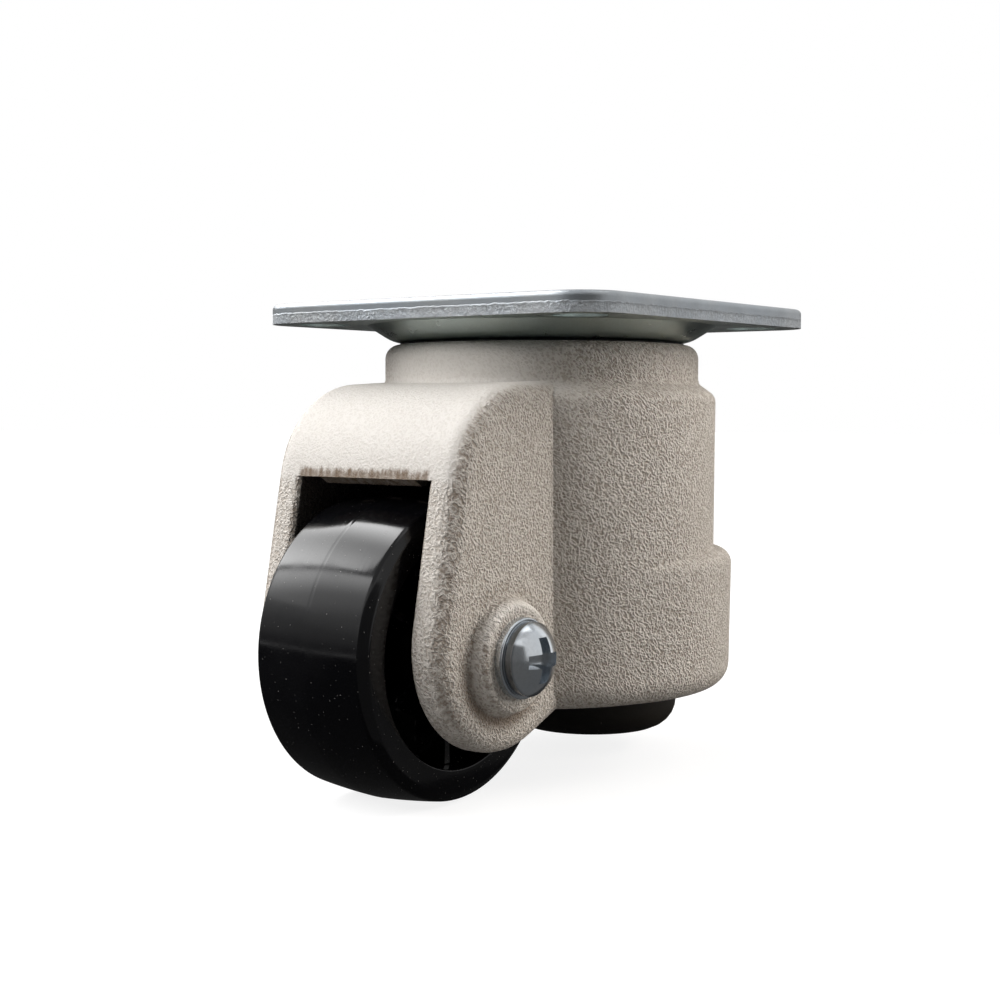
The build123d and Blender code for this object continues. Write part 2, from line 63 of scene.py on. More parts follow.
def rounded_path(corners, steps=6):
    """Open path through corners (u, v, r): each corner with r above 0 becomes an arc of that
    radius, tangent to both of its sides."""
    flat = np.array([c[:2] for c in corners], float)
    parts = []
    for i, (u, v, r) in enumerate(corners):
        here = flat[i]
        if r <= 0 or i in (0, len(corners) - 1):
            parts.append(here[None])
            continue
        a = flat[i - 1] - here
        b = flat[i + 1] - here
        a /= np.linalg.norm(a)
        b /= np.linalg.norm(b)
        half = 0.5 * np.arccos(np.clip(a @ b, -1, 1))
        middle = (a + b) / np.linalg.norm(a + b)
        centre = here + middle * r / np.sin(half)
        start = here + a * r / np.tan(half) - centre
        end = here + b * r / np.tan(half) - centre
        angle = np.arccos(np.clip(start @ end / r ** 2, -1, 1))
        t = np.linspace(0, 1, steps + 1)[:, None]
        parts.append(centre + (np.sin((1 - t) * angle) * start + np.sin(t * angle) * end) / np.sin(angle))
    return np.concatenate(parts)


def divided(path, step):
    """The same path with extra points, so that no stretch is longer than step."""
    lengths = np.linalg.norm(np.diff(path, axis=0), axis=1)
    counts = np.maximum(1, np.ceil(lengths / step).astype(int))
    spots = np.concatenate([i + np.arange(n) / n for i, n in enumerate(counts)] + [[len(path) - 1]])
    ticks = np.arange(len(path))
    return np.stack([np.interp(spots, ticks, path[:, k]) for k in (0, 1)], 1)


def wrapped(name, grid, wrap_rows=False):
    """Closed mesh from a grid of points (rows, columns, 3). Columns always wrap round; rows wrap
    where asked, and otherwise the first and last row are drawn together into one point."""
    rows, columns = grid.shape[:2]
    index = np.arange(rows * columns).reshape(rows, columns)
    points = grid.reshape(-1, 3)
    if wrap_rows:
        upper, lower = index, np.roll(index, -1, 0)
        quads = np.stack([upper, np.roll(upper, -1, 1), np.roll(lower, -1, 1), lower], -1)
        faces = quads.reshape(-1, 4).tolist()
    else:
        inner = index[1:-1] - columns + 1
        points = np.concatenate([points[:1], points[columns:-columns], points[-1:]])
        last = len(points) - 1
        upper, lower = inner[:-1], inner[1:]
        quads = np.stack([upper, np.roll(upper, -1, 1), np.roll(lower, -1, 1), lower], -1)
        top, foot = inner[0], inner[-1]
        first_fan = np.stack([np.zeros_like(top), np.roll(top, -1), top], -1)
        last_fan = np.stack([foot, np.roll(foot, -1), np.full_like(foot, last)], -1)
        faces = quads.reshape(-1, 4).tolist() + first_fan.tolist() + last_fan.tolist()
    mesh = bpy.data.meshes.new(name)
    mesh.from_pydata(points.tolist(), [], faces)
    work = bmesh.new()
    work.from_mesh(mesh)
    bmesh.ops.recalc_face_normals(work, faces=work.faces)
    work.to_mesh(mesh)
    work.free()
    mesh.shade_smooth()
    mesh.set_sharp_from_angle(angle=np.radians(40))
    piece = bpy.data.objects.new(name, mesh)
    bpy.context.scene.collection.objects.link(piece)
    return piece


def finish_piece(piece, body, slot, material, *nodes):
    """Give a new piece its body and its material, in place of CAD nodes. The slot is not used."""
    piece.data.materials.append(material)
    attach(piece, body)
    if nodes:
        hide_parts(*nodes)
    return piece


def make_wheel(material):
    """Wheel: closed side profile (x, radius) carried round the axle. The tread's radius falls
    from the mid line to the shoulder, with a fine moulding groove at the mid line, and the web
    rises to the rim's face inside each of six ribs."""
    half_tread, half_w = 8.4, 9.2
    x = np.linspace(0, 7.6, 36)
    share = x / half_tread
    tread_r = 20 - 0.375 * share - 0.375 * share ** 2 - 0.05 * np.exp(-(x / 0.10) ** 2)
    tread = np.stack([x, tread_r], 1)
    flank = rounded_path([
        tuple(tread[-1]) + (0,),
        (half_tread, 19.25, 0.8),
        (half_w, 18.1, 0.5),
        (half_w, 15.1, 0.25),
        (2.0, 14.6, 1.2),
        (2.0, 8.1, 1.2),
        (half_w, 7.6, 0.4),
        (half_w, 5.45, 0),
        (0, 5.45, 0),
    ], 6)
    side = divided(np.concatenate([tread[:-1], flank[1:]]), 0.6)
    profile = np.concatenate([side, side[::-1][1:-1] * (-1, 1)])
    turn = np.linspace(0, 2 * np.pi, 360, endpoint=False)
    along, radius = profile[:, :1], profile[:, 1:]
    rib = np.abs((turn * 6 / (2 * np.pi) + 0.5) % 1 - 0.5) * 2 * np.pi / 6 * radius
    rise = np.clip((1.1 - rib) / 0.6, 0, 1)
    rise = rise ** 2 * (3 - 2 * rise)
    inside = (radius > 7.9) & (radius < 14.8) & (np.abs(along) < 6.5)
    lifted = np.sign(along) * (np.abs(along) + rise * np.maximum(6.5 - np.abs(along), 0))
    along = np.where(inside, lifted, along + 0 * turn)
    radius = radius + 0 * turn
    grid = np.stack([along, radius * np.sin(turn), radius * np.cos(turn)], -1) * MM + AXLE
    piece = wrapped("castor_wheel", grid, wrap_rows=True)
    return finish_piece(piece, "wheel", "wheel_plastic", material, "wheel")


def make_foot(material):
    """Rubber pad: profile (radius, z) turned about the foot's axis, with three shallow grip
    grooves in its underside, open at the top where it grips the steel cup."""
    z0 = -62.3
    profile = rounded_path([
        (0, z0 + 0.5, 0),
        (3.0, z0 + 0.5, 0.3),
        (3.4, z0, 0.3),
        (5.0, z0, 0.3),
        (5.3, z0 + 0.5, 0.2),
        (6.3, z0 + 0.5, 0.2),
        (6.6, z0, 0.3),
        (8.4, z0, 0.3),
        (13.0, z0 + 0.15, 4.2),
        (13.0, -57.2, 0.1),
        (13.12, -57.1, 0.05),
        (13.12, -56.95, 0.05),
        (13.0, -56.85, 0.1),
        (13.0, -54.0, 0.7),
        (6.7, -54.0, 0),
        (6.7, -55.35, 0),
        (11.4, -55.35, 0),
        (11.4, -57.75, 0),
        (0, -57.75, 0),
    ], 6)
    profile[:, 0] = np.minimum(profile[:, 0], 13.0)
    profile = divided(profile, 0.8)
    turn = np.linspace(0, 2 * np.pi, 144, endpoint=False)
    radius, height = profile[:, :1], profile[:, 1:] + 0 * turn
    grid = np.stack([radius * np.cos(turn), radius * np.sin(turn), height], -1) * MM
    grid += (0, FOOT_Y, 0)
    piece = wrapped("rubber_foot", grid)
    return finish_piece(piece, "foot", "pad_rubber", material, "foot_pad")


def make_spindle(material):
    """Spindle: radius as a function of turn and height. The thread is a rounded wave of height
    less turn over the pitch, faded out at the chamfered top and at the neck."""
    pitch, depth, crest = 1.25, 0.75, 3.95
    top, neck_top, neck_foot, bottom = -18.5, -50.0, -52.6, -55.0
    count = int((top - neck_top) / pitch * 14)
    height = np.linspace(top - 0.6, neck_top + 0.05, count)[:, None]
    turn = np.linspace(0, 2 * np.pi, 72, endpoint=False)[None]
    phase = (height / pitch - turn / (2 * np.pi)) % 1
    wave = np.clip(np.abs(phase * 2 - 1) * 1.35 - 0.12, 0, 1)
    fade = np.clip((top - height) / 1.2, 0, 1) * np.clip((height - neck_top) / 0.8, 0, 1)
    thread_r = crest - depth + depth * wave * fade - 0.5 * (1 - fade)
    rest = np.ones_like(turn)
    rings_top = [(0, top), (2.6, top), (2.75, top - 0.1)]
    rings_foot = [(3.0, neck_top), (3.0, neck_foot + 0.2), (3.15, neck_foot), (4.7, neck_foot),
                  (4.8, neck_foot - 0.1), (4.8, bottom + 1.0), (4.5, bottom + 0.3), (3.8, bottom), (0, bottom)]
    radius = np.concatenate([np.array(rings_top)[:, :1] * rest, thread_r,
                             np.array(rings_foot)[:, :1] * rest])
    level = np.concatenate([np.array(rings_top)[:, 1:] * rest, height * rest,
                            np.array(rings_foot)[:, 1:] * rest])
    grid = np.stack([radius * np.cos(turn), radius * np.sin(turn), level], -1) * MM
    grid += (0, FOOT_Y, 0)
    piece = wrapped("threaded_spindle", grid)
    return finish_piece(piece, "dial", "zinc_steel", material, "spindle")


def put(tree, kind, settings=None, **values):
    """Add a shader node; values are linked when they are sockets and set when they are numbers."""
    made = tree.nodes.new("ShaderNode" + kind)
    for key, value in (settings or {}).items():
        setattr(made, key, value)
    for key, value in values.items():
        socket = made.inputs[key.replace("_", " ")]
        if isinstance(value, bpy.types.NodeSocket):
            tree.links.new(value, socket)
        else:
            socket.default_value = value
    return made


def sum_up(tree, operation, *values):
    """Math node on sockets or numbers; returns its result."""
    made = tree.nodes.new("ShaderNodeMath")
    made.operation = operation
    for socket, value in zip(made.inputs, values):
        if isinstance(value, bpy.types.NodeSocket):
            tree.links.new(value, socket)
        else:
            socket.default_value = value
    return made.outputs[0]


def tint(tree, factor, first, second, mode="MIX"):
    """Mix two colours; returns the mixed colour."""
    made = tree.nodes.new("ShaderNodeMix")
    made.data_type = "RGBA"
    made.blend_type = mode
    for socket, value in ((made.inputs[0], factor), (made.inputs[6], first), (made.inputs[7], second)):
        if isinstance(value, bpy.types.NodeSocket):
            tree.links.new(value, socket)
        else:
            socket.default_value = value
    return made.outputs[2]


def span(tree, value, low, high, out_low=0.0, out_high=1.0, soft=False):
    """Map a value from one span to another, clamped, with soft ends where asked."""
    made = put(tree, "MapRange", {"interpolation_type": "SMOOTHSTEP" if soft else "LINEAR"},
               Value=value, From_Min=low, From_Max=high, To_Min=out_low, To_Max=out_high)
    return made.outputs[0]


def group(name, given, results):
    """New shader node group with named inputs and outputs; returns it with both ends."""
    tree = bpy.data.node_groups.new(name, "ShaderNodeTree")
    for label, kind, value in given:
        socket = tree.interface.new_socket(label, in_out="INPUT", socket_type="NodeSocket" + kind)
        if value is not None:
            socket.default_value = value
    for label, kind in results:
        tree.interface.new_socket(label, in_out="OUTPUT", socket_type="NodeSocket" + kind)
    return tree, tree.nodes.new("NodeGroupInput").outputs, tree.nodes.new("NodeGroupOutput").inputs


def use(tree, shared, **values):
    """Place a node group in a tree with its own values; returns its outputs."""
    made = tree.nodes.new("ShaderNodeGroup")
    made.node_tree = shared
    for key, value in values.items():
        socket = made.inputs[key.replace("_", " ")]
        if isinstance(value, bpy.types.NodeSocket):
            tree.links.new(value, socket)
        else:
            socket.default_value = value
    return made.outputs


def noise(tree, vector, scale, detail=2.0, roughness=0.5, distortion=0.0):
    """Noise value between 0 and 1."""
    return put(tree, "TexNoise", None, Vector=vector, Scale=scale, Detail=detail,
               Roughness=roughness, Distortion=distortion).outputs[0]


def slanted(tree, point, stretch):
    """Point turned so that its first coordinate runs down across the casting, and divided there by
    the stretch, which draws a pattern out along that slant."""
    slant = Matrix.Rotation(np.radians(-45), 3, "Y") @ Matrix.Rotation(np.radians(-36), 3, "Z")
    turned = put(tree, "Mapping", None, Vector=point, Rotation=tuple(slant.to_euler("XYZ"))).outputs[0]
    return put(tree, "Mapping", None, Vector=turned, Scale=(1 / stretch, 1.0, 1.0)).outputs[0]


def wrinkle_skin_group():
    """Wrinkle paint: short slanting ridges, where a stretched noise is near its middle value, over
    a finer pebble of round grains. Relief scales both and Depth says how much of the crevice's
    colour shows between the ridges, where it is painted shade in the low places."""
    tree, given, made = group("wrinkle_skin", [
        ("Vector", "Vector", None), ("Grain", "Float", 1000.0), ("Relief", "Float", 1.0), ("Depth", "Float", 0.2),
        ("Paint", "Color", (0.6, 0.56, 0.5, 1)), ("Crevice", "Color", (0.3, 0.27, 0.23, 1)),
    ], [("Colour", "Color"), ("Roughness", "Float"), ("Height", "Float")])
    point, grain = given["Vector"], given["Grain"]
    long = slanted(tree, point, 1.7)
    worms = noise(tree, long, grain, 1.0, 0.4, 0.3)
    ridge = span(tree, sum_up(tree, "ABSOLUTE", sum_up(tree, "SUBTRACT", worms, 0.5)), 0.0, 0.14, 1.0, 0.0, soft=True)
    pebble = span(tree, noise(tree, point, sum_up(tree, "MULTIPLY", grain, 1.55), 1.0, 0.4), 0.36, 0.64, soft=True)
    finer = noise(tree, point, sum_up(tree, "MULTIPLY", grain, 4.0), 1.0, 0.6)
    height = sum_up(tree, "ADD", sum_up(tree, "MULTIPLY", ridge, 0.50), sum_up(tree, "MULTIPLY", pebble, 0.38))
    height = sum_up(tree, "ADD", height, sum_up(tree, "MULTIPLY", finer, 0.12))
    # painted shade: where the height is low, between the ridges, the darker crevice colour shows
    crevice_painted_shade = sum_up(tree, "MULTIPLY", span(tree, height, 0.12, 0.62, 1.0, 0.0, soft=True), given["Depth"])
    crevice_painted_shade = sum_up(tree, "MULTIPLY", crevice_painted_shade, given["Relief"])
    tree.links.new(tint(tree, crevice_painted_shade, given["Paint"], given["Crevice"]), made["Colour"])
    tree.links.new(span(tree, height, 0.1, 0.9, 0.62, 0.46), made["Roughness"])
    tree.links.new(sum_up(tree, "MULTIPLY", height, given["Relief"]), made["Height"])
    return tree


def metal_grain_group():
    """Plated metal: slow cool and warm patches, fine rolled grain along one axis, smudges."""
    tree, given, made = group("metal_grain", [
        ("Vector", "Vector", None), ("Cool", "Color", (0.7, 0.74, 0.78, 1)),
        ("Warm", "Color", (0.78, 0.76, 0.70, 1)), ("Gloss", "Float", 0.25), ("Haze", "Float", 0.15),
    ], [("Colour", "Color"), ("Roughness", "Float"), ("Height", "Float")])
    point = given["Vector"]
    slow = noise(tree, point, 70.0, 3.0, 0.55, 0.6)
    colour = tint(tree, span(tree, slow, 0.38, 0.66), given["Cool"], given["Warm"])
    long = put(tree, "Mapping", None, Vector=point, Scale=(0.12, 1.0, 1.0)).outputs[0]
    grain = noise(tree, long, 6500.0, 2.0, 0.6)
    speck = noise(tree, point, 2600.0, 3.0, 0.65)
    colour = tint(tree, span(tree, speck, 0.42, 0.72, 0.0, 0.22), colour, (0.45, 0.46, 0.46, 1))
    smudge = noise(tree, point, 160.0, 4.0, 0.6, 1.0)
    rough = sum_up(tree, "ADD", given["Gloss"], sum_up(tree, "MULTIPLY", given["Haze"],
                   span(tree, smudge, 0.35, 0.7)))
    rough = sum_up(tree, "ADD", rough, sum_up(tree, "MULTIPLY", grain, 0.06))
    tree.links.new(colour, made["Colour"])
    tree.links.new(rough, made["Roughness"])
    tree.links.new(sum_up(tree, "ADD", sum_up(tree, "MULTIPLY", grain, 0.5), speck), made["Height"])
    return tree


def dust_specks_group():
    """Dust: small pale specks and short fibres, one to a cell, kept only in some cells."""
    tree, given, made = group("dust_specks", [
        ("Vector", "Vector", None), ("Cells", "Float", 900.0), ("Kept", "Float", 0.2),
    ], [("Mask", "Float")])
    masks = []
    for stretch, size in (((1.0, 1.0, 1.0), 0.16), ((0.35, 1.0, 0.9), 0.09), ((1.0, 0.8, 0.3), 0.09)):
        point = put(tree, "Mapping", None, Vector=given["Vector"], Scale=stretch).outputs[0]
        cell = put(tree, "TexVoronoi", None, Vector=point, Scale=given["Cells"])
        chance = put(tree, "SeparateColor", None, Color=cell.outputs["Color"])
        kept = sum_up(tree, "LESS_THAN", chance.outputs[0], given["Kept"])
        near = span(tree, cell.outputs["Distance"], size * 0.7, size * 1.3, 1.0, 0.0)
        strength = span(tree, chance.outputs[1], 0.0, 1.0, 0.15, 1.0)
        masks.append(sum_up(tree, "MULTIPLY", sum_up(tree, "MULTIPLY", near, kept), strength))
    tree.links.new(sum_up(tree, "MAXIMUM", masks[0], sum_up(tree, "MAXIMUM", masks[1], masks[2])), made["Mask"])
    return tree


def turning_marks_group():
    """Turning marks: fine rings that depend only on the distance from an axis and the place
    along it."""
    tree, given, made = group("turning_marks", [
        ("Radius", "Float", 0.0), ("Along", "Float", 0.0), ("Rings", "Float", 4000.0),
    ], [("Height", "Float")])
    flat = put(tree, "CombineXYZ", None, X=given["Radius"], Y=given["Along"]).outputs[0]
    coarse = noise(tree, flat, given["Rings"], 2.0, 0.6)
    tree.links.new(coarse, made["Height"])
    return tree


WRINKLE = wrinkle_skin_group()
METAL = metal_grain_group()
DUST = dust_specks_group()
RINGS = turning_marks_group()


def material(name, **constants):
    """New node material; constants go on the shader's own sockets. Returns it, its tree, its
    shader and the object coordinates."""
    made = bpy.data.materials.new(name)
    made.use_nodes = True
    tree = made.node_tree
    shader = tree.nodes["Principled BSDF"]
    for key, value in constants.items():
        shader.inputs[key.replace("_", " ")].default_value = value
    return made, tree, shader, put(tree, "TexCoord").outputs["Object"]


def bump(tree, shader, height, distance, strength=1.0):
    """Send a height to the shader's normal."""
    made = put(tree, "Bump", None, Height=height, Distance=distance, Strength=strength)
    tree.links.new(made.outputs[0], shader.inputs["Normal"])


def axis_distance(tree, point, across, centre):
    """Distance from an axis: across names the two coordinates square to it."""
    parts = put(tree, "SeparateXYZ", None, Vector=point)
    first = sum_up(tree, "SUBTRACT", parts.outputs[across[0]], centre[0])
    second = sum_up(tree, "SUBTRACT", parts.outputs[across[1]], centre[1])
    squares = sum_up(tree, "ADD", sum_up(tree, "POWER", first, 2.0), sum_up(tree, "POWER", second, 2.0))
    return sum_up(tree, "SQRT", squares), parts


def housing_paint():
    """Light grey-beige wrinkle paint on the casting: smoother where it lies thick on the hood's top
    and front, with a tone a little cooler there and warmer elsewhere, which is painted light for the
    warmer light on the sides. Mottled brown along the rims of the arms' fronts; streaky brown on the
    hood's lip, partly its own skin and partly painted shade where it faces down. Painted shade round
    the foot of each screw boss, a painted highlight on its upper edge, and near-black painted shade
    inside the wheel well."""
    made, tree, shader, point = material("housing_wrinkle_paint", Specular_IOR_Level=0.35)
    place = put(tree, "SeparateXYZ", None, Vector=point).outputs
    face = put(tree, "SeparateXYZ", None, Vector=put(tree, "TexCoord").outputs["Normal"]).outputs
    aside = sum_up(tree, "ABSOLUTE", place["X"])
    turned = sum_up(tree, "ABSOLUTE", face["X"])
    forward = sum_up(tree, "MULTIPLY", face["Y"], -1.0)
    thick = sum_up(tree, "MULTIPLY", span(tree, place["Z"], -25.5 * MM, -22.5 * MM, soft=True),
                   span(tree, place["Y"], -20.0 * MM, -12.0 * MM, 1.0, 0.0, soft=True))
    thick = sum_up(tree, "MULTIPLY", thick, span(tree, turned, 0.35, 0.80, 1.0, 0.0, soft=True))
    fronts = sum_up(tree, "MULTIPLY", span(tree, forward, 0.85, 0.97, 0.0, 0.35, soft=True),
                    span(tree, place["Y"], -30.0 * MM, -27.0 * MM, 1.0, 0.0))
    fronts = sum_up(tree, "MULTIPLY", fronts, span(tree, place["Z"], -47.0 * MM, -40.0 * MM, soft=True))
    relief = span(tree, sum_up(tree, "MAXIMUM", thick, fronts), 0.0, 1.0, 1.0, 0.22)
    # Paint: the tone off the thick areas is a little warmer, painted light for the warmer light on the sides. Crevice:
    # painted shade between the ridges.
    skin = use(tree, WRINKLE, Vector=point, Grain=1950.0, Relief=relief, Depth=0.55,
               Paint=tint(tree, thick, (0.62, 0.575, 0.525, 1), (0.615, 0.583, 0.545, 1)),
               Crevice=(0.22, 0.165, 0.115, 1))
    streak = noise(tree, put(tree, "Mapping", None, Vector=point, Scale=(1.0, 0.6, 0.35)).outputs[0],
                   1500.0, 3.0, 0.6)
    rim = sum_up(tree, "MULTIPLY", span(tree, sum_up(tree, "MULTIPLY", turned, forward), 0.26, 0.46, soft=True),
                 span(tree, place["Y"], -30.0 * MM, -27.0 * MM, 1.0, 0.0))
    rim = sum_up(tree, "MULTIPLY", rim, span(tree, noise(tree, point, 1100.0, 3.0, 0.6), 0.40, 0.62, 0.0, 0.62))
    # Streaky brown on the hood's lip, darker towards its bottom: partly the lip's own streaked skin, partly painted
    # shade where it faces down.
    reach = span(tree, place["Z"], -23.5 * MM, -21.3 * MM, 0.85, -0.45)
    lip = span(tree, sum_up(tree, "ADD", reach, sum_up(tree, "MULTIPLY", streak, 1.1)), 0.35, 0.95, soft=True)
    lip = sum_up(tree, "MULTIPLY", lip, span(tree, streak, 0.36, 0.62, 0.68, 0.98))
    lip = sum_up(tree, "MULTIPLY", lip, span(tree, aside, 10.6 * MM, 11.2 * MM, 1.0, 0.0))
    lip = sum_up(tree, "MULTIPLY", lip, span(tree, place["Z"], -25.0 * MM, -24.6 * MM))
    lip = sum_up(tree, "MULTIPLY", lip, span(tree, place["Y"], -30.0 * MM, -27.0 * MM, 1.0, 0.0))
    from_axle = axis_distance(tree, point, "YZ", AXLE[1:])[0]
    # Painted shade: a brown ring round the foot of each screw boss, strongest on its lower side.
    foot = sum_up(tree, "MULTIPLY", span(tree, from_axle, 7.2 * MM, 8.0 * MM, soft=True),
                  span(tree, from_axle, 8.2 * MM, 10.2 * MM, 1.0, 0.0, soft=True))
    foot = sum_up(tree, "MULTIPLY", foot, span(tree, place["Z"], -51.0 * MM, -42.0 * MM, 0.80, 0.12))
    foot = sum_up(tree, "MULTIPLY", foot, span(tree, aside, 15.2 * MM, 15.6 * MM))
    # Painted highlight: a lighter arc on the upper edge of each screw boss.
    boss_painted_highlight = sum_up(tree, "MULTIPLY", span(tree, from_axle, 5.6 * MM, 6.6 * MM, soft=True),
                  span(tree, from_axle, 6.9 * MM, 7.6 * MM, 1.0, 0.0, soft=True))
    boss_painted_highlight = sum_up(tree, "MULTIPLY", boss_painted_highlight, span(tree, place["Z"], -45.0 * MM, -40.0 * MM, 0.0, 1.0))
    boss_painted_highlight = sum_up(tree, "MULTIPLY", boss_painted_highlight, span(tree, aside, 16.6 * MM, 17.4 * MM))
    colour = tint(tree, boss_painted_highlight, skin["Colour"], (0.78, 0.74, 0.69, 1))
    # The dark brown holds the mottled rims of the arms' fronts together with painted shade on the lip and round the
    # boss feet.
    brown = sum_up(tree, "MAXIMUM", sum_up(tree, "MAXIMUM", rim, lip), foot)
    colour = tint(tree, brown, colour, (0.15, 0.105, 0.07, 1))
    # Painted shade: near-black on the inner faces and ceiling of the wheel well, where light doesn't reach.
    ceiling = sum_up(tree, "MULTIPLY", span(tree, face["Z"], -0.75, -0.60, 1.0, 0.0),
                     span(tree, place["Y"], -36.0 * MM, -35.0 * MM))
    well_painted_shade = sum_up(tree, "MAXIMUM", span(tree, turned, 0.90, 0.96), ceiling)
    well_painted_shade = sum_up(tree, "MAXIMUM", well_painted_shade, span(tree, forward, -0.5, -0.2, 1.0, 0.0))
    well_painted_shade = sum_up(tree, "MULTIPLY", well_painted_shade, span(tree, aside, 11.3 * MM, 11.5 * MM, 1.0, 0.0))
    well_painted_shade = sum_up(tree, "MULTIPLY", well_painted_shade, span(tree, place["Y"], -6.0 * MM, -5.0 * MM, 1.0, 0.0))
    well_painted_shade = sum_up(tree, "MULTIPLY", well_painted_shade, span(tree, place["Z"], -20.0 * MM, -19.0 * MM, 1.0, 0.0))
    colour = tint(tree, well_painted_shade, colour, (0.060, 0.050, 0.042, 1))
    tree.links.new(colour, shader.inputs["Base Color"])
    tree.links.new(skin["Roughness"], shader.inputs["Roughness"])
    bump(tree, shader, skin["Height"], 0.00026, 1.0)
    return made


def plate_zinc():
    """Satin zinc on the pressed plate, with the rough sheared band on its edge, and painted shade darkening the rounded
    rim above that band.
    """
    made, tree, shader, point = material("plate_zinc", Metallic=1.0)
    skin = use(tree, METAL, Vector=point, Cool=(0.60, 0.64, 0.68, 1), Warm=(0.66, 0.675, 0.68, 1),
               Gloss=0.24, Haze=0.14)
    parts = put(tree, "SeparateXYZ", None, Vector=point)
    sides = []
    for label in "XY":
        beyond = sum_up(tree, "SUBTRACT", sum_up(tree, "ABSOLUTE", parts.outputs[label]), 22.7 * MM)
        sides.append(sum_up(tree, "POWER", sum_up(tree, "MAXIMUM", beyond, 0.0), 2.0))
    reach = sum_up(tree, "SQRT", sum_up(tree, "ADD", *sides))
    edge = span(tree, reach, 6.0 * MM, 6.2 * MM)
    ragged = sum_up(tree, "ADD", parts.outputs["Z"],
                    sum_up(tree, "MULTIPLY", noise(tree, point, 900.0, 3.0), 0.5 * MM))
    sheared = sum_up(tree, "MULTIPLY", edge, span(tree, ragged, -1.22 * MM, -1.08 * MM, 1.0, 0.0))
    torn = sum_up(tree, "MULTIPLY", sheared, span(tree, ragged, -2.10 * MM, -1.15 * MM, 0.35, 1.0, soft=True))
    streak = noise(tree, put(tree, "Mapping", None, Vector=point, Scale=(1, 1, 0.25)).outputs[0],
                   3800.0, 3.0, 0.7)
    under = sum_up(tree, "MULTIPLY", span(tree, parts.outputs["Z"], -2.0 * MM, -1.7 * MM, 1.0, 0.0),
                   span(tree, reach, 5.8 * MM, 6.0 * MM, 1.0, 0.0))
    # Painted shade: the rounded rim is darkened, to tone down what it reflects.
    rolled = sum_up(tree, "MULTIPLY", span(tree, reach, 5.2 * MM, 5.9 * MM, soft=True),
                    span(tree, parts.outputs["Z"], -1.8 * MM, -1.4 * MM, soft=True))
    colour = tint(tree, under, skin["Colour"], (0.80, 0.87, 0.80, 1), "MULTIPLY")
    colour = tint(tree, rolled, colour, (0.62, 0.63, 0.64, 1), "MULTIPLY")
    mottle = noise(tree, point, 2300.0, 2.0, 0.6)
    colour = tint(tree, sum_up(tree, "MULTIPLY", torn, span(tree, mottle, 0.38, 0.62, 0.15, 1.0)),
                  colour, (0.40, 0.41, 0.42, 1))
    rough = sum_up(tree, "ADD", skin["Roughness"], sum_up(tree, "MULTIPLY", sheared, 0.26))
    rough = sum_up(tree, "ADD", rough, sum_up(tree, "MULTIPLY", rolled, 0.10))
    height = sum_up(tree, "ADD", sum_up(tree, "MULTIPLY", skin["Height"], 0.12),
                    sum_up(tree, "MULTIPLY", sheared, sum_up(tree, "ADD", streak, mottle)))
    tree.links.new(colour, shader.inputs["Base Color"])
    tree.links.new(rough, shader.inputs["Roughness"])
    bump(tree, shader, height, 0.00014, 0.9)
    return made


def metal(name, cool, warm, gloss, haze, rings=0.0, across="XY", centre=(0.0, 0.0), depth=0.00001,
          ring=None):
    """Plain metal with grain, and turning marks about an axis where rings is above 0. A ring of
    (inner radius, low, high) along the same axis lies in shade and is darker."""
    made, tree, shader, point = material(name, Metallic=1.0)
    skin = use(tree, METAL, Vector=point, Cool=(*cool, 1), Warm=(*warm, 1), Gloss=gloss, Haze=haze)
    height = sum_up(tree, "MULTIPLY", skin["Height"], 0.15)
    if rings:
        radius, parts = axis_distance(tree, point, across, centre)
        along = parts.outputs[[c for c in "XYZ" if c not in across][0]]
        marks = use(tree, RINGS, Radius=radius, Along=along, Rings=rings)["Height"]
        height = sum_up(tree, "ADD", height, marks)
    colour = skin["Colour"]
    if ring:
        inner, low, high = ring
        reach = sum_up(tree, "ABSOLUTE", along)
        band = sum_up(tree, "MULTIPLY", span(tree, reach, low, low + 0.1 * MM),
                      span(tree, reach, high - 0.5 * MM, high, 1.0, 0.0, soft=True))
        band = sum_up(tree, "MULTIPLY", band, span(tree, radius, inner, inner + 0.3 * MM, 0.0, 0.85))
        colour = tint(tree, band, colour, (0.10, 0.115, 0.13, 1))
    tree.links.new(colour, shader.inputs["Base Color"])
    tree.links.new(skin["Roughness"], shader.inputs["Roughness"])
    bump(tree, shader, height, depth, 0.6)
    return made


def wheel_plastic():
    """Gloss black moulded plastic with polishing rings, smears and dust."""
    made, tree, shader, point = material("wheel_gloss_black", Specular_IOR_Level=0.38)
    radius, parts = axis_distance(tree, point, "YZ", AXLE[1:])
    marks = use(tree, RINGS, Radius=radius, Along=parts.outputs["X"], Rings=2600.0)["Height"]
    smear = noise(tree, point, 220.0, 4.0, 0.6, 0.8)
    dust = use(tree, DUST, Vector=point, Cells=2300.0, Kept=0.11)["Mask"]
    film = span(tree, noise(tree, point, 90.0, 4.0, 0.65), 0.45, 0.8, 0.0, 0.005)
    black = tint(tree, film, (0.0016, 0.0016, 0.0022, 1), (0.5, 0.5, 0.5, 1))
    colour = tint(tree, sum_up(tree, "MULTIPLY", dust, 0.24), black, (0.55, 0.53, 0.5, 1))
    rough = sum_up(tree, "ADD", span(tree, smear, 0.3, 0.75, 0.10, 0.19), sum_up(tree, "MULTIPLY", dust, 0.3))
    height = sum_up(tree, "ADD", sum_up(tree, "MULTIPLY", marks, 0.5), sum_up(tree, "MULTIPLY", dust, 0.15))
    tree.links.new(colour, shader.inputs["Base Color"])
    tree.links.new(rough, shader.inputs["Roughness"])
    bump(tree, shader, height, 0.00002, 0.55)
    return made


